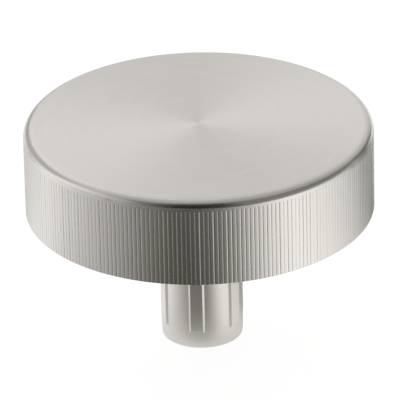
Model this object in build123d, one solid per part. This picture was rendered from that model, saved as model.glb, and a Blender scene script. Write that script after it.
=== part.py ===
from build123d import *
import math
import os

# A reeded knob handle for a tap: a turned disc clamped on a ribbed shank that
# takes the valve's splined stem. Millimetres, +Z up, origin at the centre of
# the shank's end face, where the handle meets the valve.

# Disc
DISC_DIAMETER = 60.0
DISC_THICKNESS = 15.4
FACE_ROUND = 1.7

# Straight, shallow reeding round the rim, ending just below the face round
REED_PITCH = 0.77
REED_DEPTH = 0.05
REED_TOP_MARGIN = 0.1
REED_GROOVE_ANGLE = 160.0
CUTTER_OVERLAP = 0.01

# Shank
SHANK_DIAMETER = 14.1
SHANK_LENGTH = 24.4
NOSE_LENGTH = 1.5
NOSE_DRAW_IN = 0.1
END_CHAMFER = 0.1

# Ribs along the shank, flat on top and sloped at the sides, each with a ramp at its lower end
RIB_COUNT = 6
RIB_HEIGHT = 0.2
RIB_TOP_WIDTH = 2.1
RIB_SIDE_SLOPE = 45.0
RIB_LOW_END = 3.1
RIB_RAMP_LENGTH = 0.2

# Spigot on the shank, pressed into a socket under the disc
SPIGOT_DIAMETER = 10.0
SPIGOT_LENGTH = 5.0
SPIGOT_END_GAP = 0.3

# Splined insert
INSERT_WALL = 1.0
INSERT_LENGTH = 14.0
INSERT_RECESS = 1.0
INSERT_CLEARANCE = 0.02
SPLINE_COUNT = 20
SPLINE_MAJOR_DIAMETER = 8.0
SPLINE_MINOR_DIAMETER = 7.2
LEAD_IN_DIAMETER = 8.3
LEAD_IN_LENGTH = 3.5

# Screw that clamps the disc to the shank
DISC_SCREW_DIAMETER = 5.0
DISC_SCREW_LENGTH = 14.0
DISC_SCREW_CLEARANCE = 0.25
DISC_SCREW_TIP_GAP = 1.0
HEAD_DIAMETER = 8.5
HEAD_HEIGHT = 5.0
HEAD_HEX = 4.0
HEAD_HEX_DEPTH = 2.5
HEAD_RADIAL_CLEARANCE = 0.25
HEAD_END_CLEARANCE = 0.5

# Grub screw in the back of the shank
SET_SCREW_DIAMETER = 4.0
SET_SCREW_LENGTH = 3.0
SET_SCREW_HEX = 2.0
SET_SCREW_HEX_DEPTH = 1.5
SET_SCREW_RECESS = 0.2
SET_SCREW_HEIGHT = 9.5
SET_SCREW_ANGLE = 120.0
SET_SCREW_CLEARANCE = 0.15

disc_radius = DISC_DIAMETER / 2
shank_radius = SHANK_DIAMETER / 2
disc_top = SHANK_LENGTH + DISC_THICKNESS
insert_bore = SPLINE_MAJOR_DIAMETER + 2 * INSERT_WALL
insert_bottom = INSERT_RECESS
insert_top = insert_bottom + INSERT_LENGTH
head_seat = insert_top + HEAD_END_CLEARANCE + HEAD_HEIGHT
spigot_top = SHANK_LENGTH + SPIGOT_LENGTH


def rod(radius, bottom, top):
    """Upright round bar on the axis, from one height to another."""
    height = top - bottom
    return Pos(0, 0, bottom) * Cylinder(radius, height, align=(Align.CENTER, Align.CENTER, Align.MIN))


def hex_bar(across_flats, bottom, top):
    """Upright hexagonal bar on the axis, from one height to another."""
    corner_radius = across_flats / math.sqrt(3)
    section = Plane.XY.offset(bottom) * RegularPolygon(corner_radius, 6)
    return extrude(section, top - bottom)


def turned_disc():
    """The disc as it leaves the lathe, with its rounded face edge."""
    bar = rod(disc_radius, SHANK_LENGTH, disc_top)
    top_edge = bar.edges().sort_by(Axis.Z)[-1]
    return fillet(top_edge, FACE_ROUND)


def reed_grooves():
    """V grooves round the rim, open at the underside and stopped just below the face round."""
    count = round(math.pi * DISC_DIAMETER / REED_PITCH)
    reach = REED_DEPTH + CUTTER_OVERLAP
    half_mouth = reach * math.tan(math.radians(REED_GROOVE_ANGLE / 2))
    vee = make_face(Polyline((0, 0), (reach, half_mouth), (reach, -half_mouth), close=True))
    reed_length = DISC_THICKNESS - FACE_ROUND - REED_TOP_MARGIN
    upright = extrude(vee, reed_length + CUTTER_OVERLAP)
    cutter = Pos(disc_radius - REED_DEPTH, 0, SHANK_LENGTH - CUTTER_OVERLAP) * upright
    return [Rot(0, 0, 360 * index / count) * cutter for index in range(count)]


def make_handle_disc():
    """Reeded disc with a socket for the spigot and a tapped hole for its screw."""
    disc = turned_disc() - reed_grooves()
    disc -= rod(SPIGOT_DIAMETER / 2, SHANK_LENGTH, spigot_top + SPIGOT_END_GAP)
    hole_top = head_seat + DISC_SCREW_LENGTH + DISC_SCREW_TIP_GAP
    disc -= rod(DISC_SCREW_DIAMETER / 2, SHANK_LENGTH, hole_top)
    return disc


def shank_blank():
    """Turned shank with a drawn-in nose, a chamfered end and a spigot on top."""
    nose = TangentArc(
        (shank_radius, NOSE_LENGTH),
        (shank_radius - NOSE_DRAW_IN, 0),
        tangent=(0, -1),
    )
    profile = make_face(
        nose
        + Polyline(
            nose @ 1,
            (0, 0),
            (0, spigot_top),
            (SPIGOT_DIAMETER / 2, spigot_top),
            (SPIGOT_DIAMETER / 2, SHANK_LENGTH),
            (shank_radius, SHANK_LENGTH),
            nose @ 0,
        )
    )
    blank = revolve(Plane.XZ * profile, Axis.Z)
    end_edge = blank.edges().sort_by(Axis.Z)[0]
    return chamfer(end_edge, END_CHAMFER)


def make_rib():
    """Rib at the front of the shank: its cross-section run upwards, where it lies within its side view."""
    top = shank_radius + RIB_HEIGHT
    root = shank_radius - 2 * RIB_HEIGHT
    half_top = RIB_TOP_WIDTH / 2
    half_root = half_top + (top - root) / math.tan(math.radians(RIB_SIDE_SLOPE))
    section = make_face(
        Polyline(
            (half_top, -top),
            (half_root, -root),
            (-half_root, -root),
            (-half_top, -top),
            close=True,
        )
    )
    ramp_rise = RIB_RAMP_LENGTH / RIB_HEIGHT
    side_view = make_face(
        Polyline(
            (-top, SHANK_LENGTH),
            (-top, RIB_LOW_END + RIB_RAMP_LENGTH),
            (-root, RIB_LOW_END - ramp_rise * (shank_radius - root)),
            (-root, SHANK_LENGTH),
            close=True,
        )
    )
    run = extrude(section, SHANK_LENGTH)
    across = extrude(Plane.YZ * side_view, half_root, both=True)
    return run & across


def make_ribs():
    """The ribs, evenly spaced round the shank from the one at the front."""
    rib = make_rib()
    return [Rot(0, 0, 360 * index / RIB_COUNT) * rib for index in range(RIB_COUNT)]


def at_set_screw(shape):
    """Turns an upright shape so that its base is on the axis and it points out of the back."""
    direction = Plane(
        origin=(0, 0, SET_SCREW_HEIGHT),
        x_dir=(0, 0, 1),
        z_dir=(math.cos(math.radians(SET_SCREW_ANGLE)), math.sin(math.radians(SET_SCREW_ANGLE)), 0),
    )
    return direction * shape


def make_shank():
    """Ribbed shank, bored for the insert and the clamping screw."""
    shank = shank_blank() + make_ribs()
    shank -= rod(insert_bore / 2, 0, insert_top)
    shank -= rod(HEAD_DIAMETER / 2 + HEAD_RADIAL_CLEARANCE, insert_top, head_seat)
    shank -= rod(DISC_SCREW_DIAMETER / 2 + DISC_SCREW_CLEARANCE, head_seat, spigot_top)
    shank -= at_set_screw(rod(SET_SCREW_DIAMETER / 2, 0, SHANK_DIAMETER))
    return shank


def splined_hole():
    """Star of straight-sided splines that passes through the insert."""
    corners = []
    for index in range(2 * SPLINE_COUNT):
        diameter = SPLINE_MAJOR_DIAMETER if index % 2 else SPLINE_MINOR_DIAMETER
        angle = math.pi * index / SPLINE_COUNT
        corners.append((diameter / 2 * math.cos(angle), diameter / 2 * math.sin(angle)))
    star = make_face(Polyline(*corners, close=True))
    return extrude(Plane.XY.offset(insert_bottom) * star, INSERT_LENGTH)


def make_spline_insert():
    """Broached sleeve with a plain lead-in, pierced for the grub screw."""
    insert = rod(insert_bore / 2 - INSERT_CLEARANCE, insert_bottom, insert_top)
    insert -= splined_hole()
    insert -= rod(LEAD_IN_DIAMETER / 2, insert_bottom, insert_bottom + LEAD_IN_LENGTH)
    insert -= at_set_screw(rod(SET_SCREW_DIAMETER / 2 + SET_SCREW_CLEARANCE, 0, insert_bore))
    return insert


def make_disc_screw():
    """Socket head cap screw, head down in the shank, driven up into the disc."""
    head = rod(HEAD_DIAMETER / 2, head_seat - HEAD_HEIGHT, head_seat)
    stem = rod(DISC_SCREW_DIAMETER / 2, head_seat, head_seat + DISC_SCREW_LENGTH)
    socket = hex_bar(HEAD_HEX, head_seat - HEAD_HEIGHT, head_seat - HEAD_HEIGHT + HEAD_HEX_DEPTH)
    return head + stem - socket


def make_set_screw():
    """Grub screw with a hexagon socket, just under the shank's surface."""
    outer_end = shank_radius - SET_SCREW_RECESS
    body = rod(SET_SCREW_DIAMETER / 2, outer_end - SET_SCREW_LENGTH, outer_end)
    socket = hex_bar(SET_SCREW_HEX, outer_end - SET_SCREW_HEX_DEPTH, outer_end)
    return at_set_screw(body - socket)


def write_parts():
    """Writes one STEP file per piece."""
    os.makedirs("parts", exist_ok=True)
    pieces = {
        "handle_disc": make_handle_disc(),
        "shank": make_shank(),
        "spline_insert": make_spline_insert(),
        "disc_screw": make_disc_screw(),
        "set_screw": make_set_screw(),
    }
    for name, piece in pieces.items():
        export_step(piece, f"parts/{name}.step")


write_parts()
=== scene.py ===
import math

import bpy
from mathutils import Matrix, Vector


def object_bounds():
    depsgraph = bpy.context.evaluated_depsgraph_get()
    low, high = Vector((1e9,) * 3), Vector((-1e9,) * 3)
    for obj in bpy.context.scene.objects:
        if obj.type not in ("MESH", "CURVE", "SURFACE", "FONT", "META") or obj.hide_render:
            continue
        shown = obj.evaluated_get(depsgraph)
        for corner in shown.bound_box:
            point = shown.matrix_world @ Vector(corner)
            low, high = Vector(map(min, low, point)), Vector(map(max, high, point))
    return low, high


# Brushed metal faucet handle, standing on its shank on a pale studio floor. Lengths in metres.
# Bearings go round the object from the photo's camera, positive to its right.

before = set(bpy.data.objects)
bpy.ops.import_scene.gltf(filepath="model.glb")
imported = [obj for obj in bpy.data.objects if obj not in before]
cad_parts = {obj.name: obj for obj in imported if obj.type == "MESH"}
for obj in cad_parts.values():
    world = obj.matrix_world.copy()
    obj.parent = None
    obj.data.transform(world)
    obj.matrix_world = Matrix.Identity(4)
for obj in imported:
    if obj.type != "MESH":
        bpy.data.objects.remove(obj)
cad_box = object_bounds()

# Camera, and how far right of and above the middle of the object it looks
CAMERA_AZIMUTH = math.radians(8.0)
CAMERA_ELEVATION = math.radians(26.70)
CAMERA_ROLL = math.radians(-1.265)
CAMERA_DISTANCE = 0.9
CAMERA_LENS = 469.61
CAMERA_REACH = 20.0
AIM_RIGHT = 0.00002
AIM_RISE = 0.00471

# Studio above the floor. Bearing in degrees, brightness of the side panels there, the
# elevation at which they end, the elevation at which the overhead one begins, and what is
# left between
STUDIO = (
    (-180, 0.03, -8, -6, 0.05),
    (-170, 0.05, -8, 6, 0.20),
    (-160, 0.40, 0, 18, 0.45),
    (-150, 0.80, 2, 26, 0.60),
    (-138, 1.25, 6, 32, 0.62),
    (-126, 1.48, 10, 36, 0.62),
    (-112, 1.42, 18, 40, 0.60),
    (-90, 0.99, 42, 44, 0.60),
    (-60, 0.59, 46, 52, 0.40),
    (-34, 0.26, 34, 54, 0.18),
    (-24, 0.10, 5, 58, 0.08),
    (-14, 0.02, -6, 61, 0.02),
    (0, 0.02, -6, 62, 0.02),
    (16, 0.13, -4, 61, 0.05),
    (30, 0.58, 0, 58, 0.26),
    (44, 1.26, 0, 56, 0.26),
    (60, 1.76, 0, 52, 0.26),
    (90, 1.26, 2, 44, 0.24),
    (116, 0.84, 8, 30, 0.24),
    (134, 0.24, -2, 18, 0.20),
    (150, 0.04, -5, 5, 0.20),
    (160, 0.04, -8, -10, 0.20),
    (170, 0.04, -8, -16, 0.20),
    (180, 0.03, -8, -6, 0.05),
)
# Brightness that a channel's 1 stands for in the colour ramps
MAX_LEVEL = 2.0
# Elevations over which the panels fade out
PANEL_EDGE = math.radians(34.0)
OVERHEAD_EDGE = math.radians(8.0)
# The left panels grow brighter by this factor from the horizon up to this elevation. It
# fades in and out over these bearings
LEFT_RISE = 1.3
LEFT_RISE_TOP = math.radians(20.0)
LEFT_FADE_IN = (math.radians(-115.0), math.radians(-95.0))
LEFT_FADE_OUT = (math.radians(-50.0), math.radians(-35.0))
# The overhead panel is brightest in this direction and fades all round, by this power, up to
# the angle whose cosine is its reach
KEY_BEARING = math.radians(-163.0)
KEY_ELEVATION = math.radians(35.0)
KEY_LEVEL = 1.27
FAR_LEVEL = 0.6
KEY_REACH = 0.3
KEY_POWER = 3.0
# Tint of the darkest light, and the brightness from which there is none
TINT = (1.035, 1.0, 0.88, 1)
TINT_END = 0.7
WHITE = (1, 1, 1, 1)

FLOOR_SIZE = 6.0
FLOOR_COLOUR = (0.2, 0.2, 0.2, 1)
FLOOR_GLOW = 0.92

# Cards on the floor. Bearing in degrees, their brightness there and how much they cover
CARDS = (
    (-180, 0.90, 0.0),
    (-140, 0.80, 0.0),
    (-126, 0.78, 1.0),
    (-116, 1.20, 1.0),
    (-106, 1.40, 1.0),
    (-94, 1.34, 1.0),
    (-76, 0.96, 1.0),
    (-50, 0.58, 1.0),
    (-29, 0.26, 1.0),
    (-20, 0.13, 1.0),
    (-12, 0.07, 1.0),
    (0, 0.07, 1.0),
    (13, 0.18, 1.0),
    (25, 0.56, 1.0),
    (37, 1.14, 1.0),
    (50, 1.62, 1.0),
    (76, 1.24, 1.0),
    (97, 0.92, 1.0),
    (113, 0.40, 1.0),
    (126, 0.16, 1.0),
    (140, 0.16, 0.0),
    (180, 0.90, 0.0),
)
CARD_HEIGHT = 0.0002
CARD_SIDES = 96
CARD_INNER = 0.008
CARD_INNER_FADE = 0.010
CARD_OUTER = 2.0
CARD_OUTER_FADE = 0.1

# Fine lines of the turned metals: how densely they lie, how much they change as they run
# round, their detail, depth and strength in the bump
LINE_DENSITY = 4000.0
LINE_CHANGE = 3.0
LINE_DETAIL = 3.0
LINE_DEPTH = 0.00001
LINE_BUMP = 0.15
# Share by which the lines change the roughness of a face, over this range of their noise
GRAIN = 0.08
GRAIN_RANGE = (0.3, 0.7)
# Vertical share of the normal over which a side gives way to a face
FACE_RANGE = (0.9, 0.995)
# Share of a turn by which the stretched highlights are turned, to lie across the lines
HIGHLIGHT_TURN = 0.25

# The reeded band on the rim: how far it reaches in from the outside, how far below the face
# it begins, and the most that its normal may point up or down
REED_BAND_DEPTH = 0.0008
REED_BAND_TOP = 0.0011
REED_BAND_UPWARD = 0.8
REED_COUNT = 245
REED_ROUGHNESS = 0.26
# The most that the normal of a groove's wall may point up or down
WALL_UPWARD = 0.01
# Share of the grooves' slope that shows near their bottoms and elsewhere, and how much it
# differs from reed to reed
GROOVE_RELIEF = 1.9
CREST_RELIEF = 0.25
RELIEF_SPREAD = 0.7
# Distance from a groove's bottom, in reeds, over which the first share gives way to the second
GROOVE_CORE = (0.08, 0.16)

BODY_COLOUR = (0.60, 0.578, 0.548, 1)
HUB_COLOUR = (0.71, 0.684, 0.648, 1)
BRASS_COLOUR = (0.72, 0.56, 0.30, 1)
STEEL_COLOUR = (0.45, 0.45, 0.45, 1)


class Nodes:
    """Short calls for making and joining shader nodes in one tree."""

    def __init__(self, tree):
        self.tree = tree
        tree.nodes.clear()

    def add(self, kind, inputs=(), **settings):
        node = self.tree.nodes.new("ShaderNode" + kind)
        for name, value in settings.items():
            setattr(node, name, value)
        for key, value in dict(inputs).items():
            self.feed(node.inputs[key], value)
        return node

    def feed(self, socket, value):
        if isinstance(value, bpy.types.NodeSocket):
            self.tree.links.new(value, socket)
        else:
            socket.default_value = value

    def math(self, operation, *values, clamp=False):
        node = self.add("Math", operation=operation, use_clamp=clamp)
        for index, value in enumerate(values):
            self.feed(node.inputs[index], value)
        return node.outputs[0]

    def smooth(self, value, start, end, low=0.0, high=1.0):
        inputs = {"Value": value, "From Min": start, "From Max": end, "To Min": low, "To Max": high}
        return self.add("MapRange", inputs, interpolation_type="SMOOTHSTEP").outputs["Result"]

    def turned(self, place):
        """A place or direction, turned so that bearing 0 lies along -Y."""
        inputs = {"Vector": place, "Angle": -CAMERA_AZIMUTH}
        return self.add("VectorRotate", inputs, rotation_type="Z_AXIS").outputs[0]

    def bearing(self, place):
        """Bearing of a turned place or direction."""
        right, back, _ = self.add("SeparateXYZ", {0: place}).outputs
        return self.math("ARCTAN2", right, self.math("MULTIPLY", back, -1))

    def ramp(self, bearing, colours):
        """Colour ramp over the bearing, from pairs of degrees and colour."""
        node = self.add("ValToRGB", {0: self.math("MULTIPLY_ADD", bearing, 1 / math.tau, 0.5)})
        stops = node.color_ramp.elements
        while len(stops) > 1:
            stops.remove(stops[-1])
        for index, (degrees, colour) in enumerate(colours):
            position = degrees / 360 + 0.5
            stop = stops[0] if index == 0 else stops.new(position)
            stop.position = position
            stop.color = colour
        return node

    def tinted(self, light):
        """Colour of a light, warmer where it is dark."""
        inputs = {0: self.smooth(light, 0.0, TINT_END), 6: TINT, 7: WHITE}
        return self.add("Mix", inputs, data_type="RGBA").outputs[2]


def panel_light(n, direction):
    """Brightness of the side panels and the overhead one in a turned direction."""
    bearing = n.bearing(direction)
    elevation = n.math("ARCSINE", n.add("SeparateXYZ", {0: direction}).outputs["Z"])
    # Red is the level, green and blue the two elevations, alpha what is left between
    colours = [
        (degrees, (level / MAX_LEVEL, panel_top / 180 + 0.5, overhead_low / 180 + 0.5, gap))
        for degrees, level, panel_top, overhead_low, gap in STUDIO
    ]
    ramp = n.ramp(bearing, colours)
    level, panel_top, overhead_low = n.add("SeparateColor", {0: ramp.outputs[0]}).outputs
    panel_top = n.math("MULTIPLY_ADD", panel_top, math.pi, -math.pi / 2)
    overhead_low = n.math("MULTIPLY_ADD", overhead_low, math.pi, -math.pi / 2)

    left = n.smooth(bearing, *LEFT_FADE_OUT, 1.0, 0.0)
    left = n.math("MULTIPLY", left, n.smooth(bearing, *LEFT_FADE_IN))
    rise = n.smooth(elevation, 0.0, LEFT_RISE_TOP, 0.0, LEFT_RISE - 1)
    rise = n.math("MULTIPLY", left, rise)
    level = n.math("MULTIPLY", level, n.math("MULTIPLY_ADD", rise, MAX_LEVEL, MAX_LEVEL))
    below = n.math("SUBTRACT", panel_top, elevation)
    below = n.smooth(below, -PANEL_EDGE / 2, PANEL_EDGE / 2)
    panels = n.math("MULTIPLY", below, level)

    key_direction = (
        math.sin(KEY_BEARING) * math.cos(KEY_ELEVATION),
        -math.cos(KEY_BEARING) * math.cos(KEY_ELEVATION),
        math.sin(KEY_ELEVATION),
    )
    key = n.add("VectorMath", {0: direction, 1: key_direction}, operation="DOT_PRODUCT")
    key = n.math("SUBTRACT", key.outputs["Value"], KEY_REACH)
    key = n.math("DIVIDE", key, 1 - KEY_REACH, clamp=True)
    key = n.math("POWER", key, KEY_POWER)
    overhead = n.math("MULTIPLY_ADD", key, KEY_LEVEL - FAR_LEVEL, FAR_LEVEL)
    above = n.math("SUBTRACT", elevation, overhead_low)
    above = n.smooth(above, -OVERHEAD_EDGE / 2, OVERHEAD_EDGE / 2)
    overhead = n.math("MULTIPLY", above, overhead)

    return n.math("MAXIMUM", n.math("ADD", panels, overhead), ramp.outputs["Alpha"])


def make_world():
    """A soft studio: side panels and an overhead one, with a dark opening behind the camera."""
    world = bpy.data.worlds.new("studio")
    bpy.context.scene.world = world
    world.use_nodes = True
    n = Nodes(world.node_tree)
    light = panel_light(n, n.turned(n.add("TexCoord").outputs["Generated"]))
    background = n.add("Background", {"Color": n.tinted(light), "Strength": light})
    n.add("OutputWorld", {0: background.outputs[0]})


def make_floor():
    """Pale floor, which the metal mirrors wherever no card lies between."""
    bpy.ops.mesh.primitive_plane_add(size=FLOOR_SIZE, location=(0, 0, cad_box[0].z))
    floor = bpy.context.object
    floor.name = "floor"
    material = bpy.data.materials.new("floor")
    material.use_nodes = True
    n = Nodes(material.node_tree)
    diffuse = n.add("BsdfDiffuse", {"Color": FLOOR_COLOUR})
    path = n.add("LightPath")
    seen = n.math("MAXIMUM", path.outputs["Is Camera Ray"], path.outputs["Is Glossy Ray"])
    seen = n.math("MAXIMUM", seen, path.outputs["Is Transmission Ray"])
    glow = n.add("Emission", {"Color": WHITE, "Strength": n.math("MULTIPLY", seen, FLOOR_GLOW)})
    both = n.add("AddShader", {0: diffuse.outputs[0], 1: glow.outputs[0]})
    n.add("OutputMaterial", {0: both.outputs[0]})
    floor.data.materials.append(material)


def card_material():
    """Glow that differs by bearing, clear close in, behind the object and past the outer edge."""
    material = bpy.data.materials.new("cards")
    material.use_nodes = True
    n = Nodes(material.node_tree)
    place = n.turned(n.add("TexCoord").outputs["Object"])
    # Red is the level, green how much the cards cover
    colours = [(degrees, (level / MAX_LEVEL, cover, 0, 1)) for degrees, level, cover in CARDS]
    ramp = n.ramp(n.bearing(place), colours)
    level, cover, _ = n.add("SeparateColor", {0: ramp.outputs[0]}).outputs
    radius = n.add("VectorMath", {0: place}, operation="LENGTH").outputs["Value"]
    inside = n.smooth(radius, CARD_INNER, CARD_INNER + CARD_INNER_FADE)
    outside = n.smooth(radius, CARD_OUTER - CARD_OUTER_FADE, CARD_OUTER, 1.0, 0.0)
    cover = n.math("MULTIPLY", n.math("MULTIPLY", cover, inside), outside)
    light = n.math("MULTIPLY", level, MAX_LEVEL)
    clear = n.add("BsdfTransparent")
    glow = n.add("Emission", {"Color": n.tinted(light), "Strength": light})
    both = n.add("MixShader", {0: cover, 1: clear.outputs[0], 2: glow.outputs[0]})
    n.add("OutputMaterial", {0: both.outputs[0]})
    return material


def make_cards():
    """Studio cards on the floor, dark in front and bright beside it. Only reflections see them."""
    height = cad_box[0].z + CARD_HEIGHT
    rim = []
    for step in range(CARD_SIDES):
        angle = math.tau * step / CARD_SIDES
        rim.append((CARD_OUTER * math.cos(angle), CARD_OUTER * math.sin(angle), height))
    mesh = bpy.data.meshes.new("cards")
    mesh.from_pydata(rim, [], [list(range(CARD_SIDES))])
    mesh.materials.append(card_material())
    cards = bpy.data.objects.new("cards", mesh)
    bpy.context.scene.collection.objects.link(cards)
    cards.visible_camera = False
    cards.visible_diffuse = False
    cards.visible_transmission = False
    cards.visible_shadow = False


def make_camera():
    """Camera above the front, a little to the right of the front rib."""
    back = Vector((
        math.sin(CAMERA_AZIMUTH) * math.cos(CAMERA_ELEVATION),
        -math.cos(CAMERA_AZIMUTH) * math.cos(CAMERA_ELEVATION),
        math.sin(CAMERA_ELEVATION),
    ))
    right = Vector((math.cos(CAMERA_AZIMUTH), math.sin(CAMERA_AZIMUTH), 0))
    up = back.cross(right)
    aim = (cad_box[0] + cad_box[1]) / 2 + right * AIM_RIGHT + up * AIM_RISE
    side = right * math.cos(CAMERA_ROLL) + up * math.sin(CAMERA_ROLL)
    top = up * math.cos(CAMERA_ROLL) - right * math.sin(CAMERA_ROLL)
    data = bpy.data.cameras.new("camera")
    data.lens = CAMERA_LENS
    data.clip_end = CAMERA_REACH
    camera = bpy.data.objects.new("camera", data)
    bpy.context.scene.collection.objects.link(camera)
    turn = Matrix((side, top, back)).transposed().to_4x4()
    camera.matrix_world = Matrix.Translation(aim + back * CAMERA_DISTANCE) @ turn
    bpy.context.scene.camera = camera


def reed_normal(n, normal, x, y, radius, band, facing):
    """Normal on the reeded band, shaded steeper near the grooves' bottoms and flatter elsewhere."""
    turns = n.math("MULTIPLY", n.math("ARCTAN2", y, x), REED_COUNT / math.tau)
    groove = n.math("ROUND", turns)
    offset = n.math("ABSOLUTE", n.math("SUBTRACT", turns, groove))
    core = n.smooth(offset, *GROOVE_CORE, 1.0, 0.0)
    relief = n.math("MULTIPLY_ADD", core, GROOVE_RELIEF - CREST_RELIEF, CREST_RELIEF)
    chance = n.add("TexWhiteNoise", {"W": groove}, noise_dimensions="1D").outputs["Value"]
    spread = n.math("MULTIPLY_ADD", chance, RELIEF_SPREAD, 1 - RELIEF_SPREAD / 2)
    relief = n.math("MULTIPLY", relief, spread)
    wall = n.math("LESS_THAN", n.math("ABSOLUTE", facing), WALL_UPWARD)
    ease = n.math("MULTIPLY", n.math("MULTIPLY", band, wall), n.math("SUBTRACT", 1.0, relief))
    outward = {"X": n.math("DIVIDE", x, radius), "Y": n.math("DIVIDE", y, radius)}
    outward = n.add("CombineXYZ", outward).outputs[0]
    inputs = {0: ease, 4: normal, 5: outward}
    eased = n.add("Mix", inputs, data_type="VECTOR", clamp_factor=False).outputs[1]
    return n.add("VectorMath", {0: eased}, operation="NORMALIZE").outputs[0]


def turned_metal(name, colour, face_roughness, side_roughness, anisotropy, reeded=False):
    """Metal with fine lines that run round the axis, and its own roughness on faces square to it.

    Where it is reeded, the lines on the rim's band run upwards.
    """
    material = bpy.data.materials.new(name)
    material.use_nodes = True
    n = Nodes(material.node_tree)
    x, y, z = n.add("SeparateXYZ", {0: n.add("TexCoord").outputs["Object"]}).outputs
    radius = n.math("SQRT", n.math("ADD", n.math("MULTIPLY", x, x), n.math("MULTIPLY", y, y)))
    facing = n.add("SeparateXYZ", {0: n.add("NewGeometry").outputs["Normal"]}).outputs["Z"]
    face = n.smooth(n.math("ABSOLUTE", facing), *FACE_RANGE)

    lines = {
        "X": n.math("MULTIPLY", n.math("ADD", radius, z), LINE_DENSITY),
        "Y": n.math("MULTIPLY", n.math("DIVIDE", x, radius), LINE_CHANGE),
        "Z": n.math("MULTIPLY", n.math("DIVIDE", y, radius), LINE_CHANGE),
    }
    lines = n.add("CombineXYZ", lines).outputs[0]
    noise = n.add("TexNoise", {"Vector": lines, "Scale": 1.0, "Detail": LINE_DETAIL}).outputs[0]
    strength = n.math("MULTIPLY", face, LINE_BUMP)
    bump = n.add("Bump", {"Height": noise, "Strength": strength, "Distance": LINE_DEPTH})
    normal = bump.outputs[0]
    grain = n.math("MULTIPLY", face, n.smooth(noise, *GRAIN_RANGE, -GRAIN, GRAIN))
    rough = n.math("MULTIPLY_ADD", face, face_roughness - side_roughness, side_roughness)
    rough = n.math("MULTIPLY", rough, n.math("ADD", grain, 1.0))
    tangent = n.add("Tangent", direction_type="RADIAL", axis="Z").outputs[0]

    if reeded:
        outer = n.math("GREATER_THAN", radius, cad_box[1].x - REED_BAND_DEPTH)
        band = n.math("MULTIPLY", outer, n.math("LESS_THAN", z, cad_box[1].z - REED_BAND_TOP))
        side = n.math("LESS_THAN", n.math("ABSOLUTE", facing), REED_BAND_UPWARD)
        band = n.math("MULTIPLY", band, side)
        inputs = {0: band, 4: tangent, 5: (0, 0, 1)}
        tangent = n.add("Mix", inputs, data_type="VECTOR").outputs[1]
        rough = n.math("MULTIPLY_ADD", band, n.math("SUBTRACT", REED_ROUGHNESS, rough), rough)
        normal = reed_normal(n, normal, x, y, radius, band, facing)

    metal = n.add(
        "BsdfPrincipled",
        {
            "Base Color": colour,
            "Metallic": 1.0,
            "Roughness": rough,
            "Anisotropic": anisotropy,
            "Anisotropic Rotation": HIGHLIGHT_TURN,
            "Tangent": tangent,
            "Normal": normal,
        },
    )
    n.add("OutputMaterial", {0: metal.outputs[0]})
    return material


def paint(node, material):
    """Gives a CAD node its material."""
    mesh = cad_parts[node].data
    mesh.materials.clear()
    mesh.materials.append(material)


body = turned_metal(
    "brushed_body",
    BODY_COLOUR,
    face_roughness=0.36,
    side_roughness=0.22,
    anisotropy=0.8,
    reeded=True,
)
hub = turned_metal(
    "satin_hub", HUB_COLOUR, face_roughness=0.52, side_roughness=0.52, anisotropy=0.3
)
brass = turned_metal(
    "insert_brass", BRASS_COLOUR, face_roughness=0.35, side_roughness=0.3, anisotropy=0.3
)
steel = turned_metal(
    "screw_steel", STEEL_COLOUR, face_roughness=0.35, side_roughness=0.3, anisotropy=0.3
)
paint("handle_disc", body)
paint("shank", hub)
paint("spline_insert", brass)
paint("disc_screw", steel)
paint("set_screw", steel)
make_world()
make_floor()
make_cards()
make_camera()
bpy.context.scene.view_settings.view_transform = "Standard"
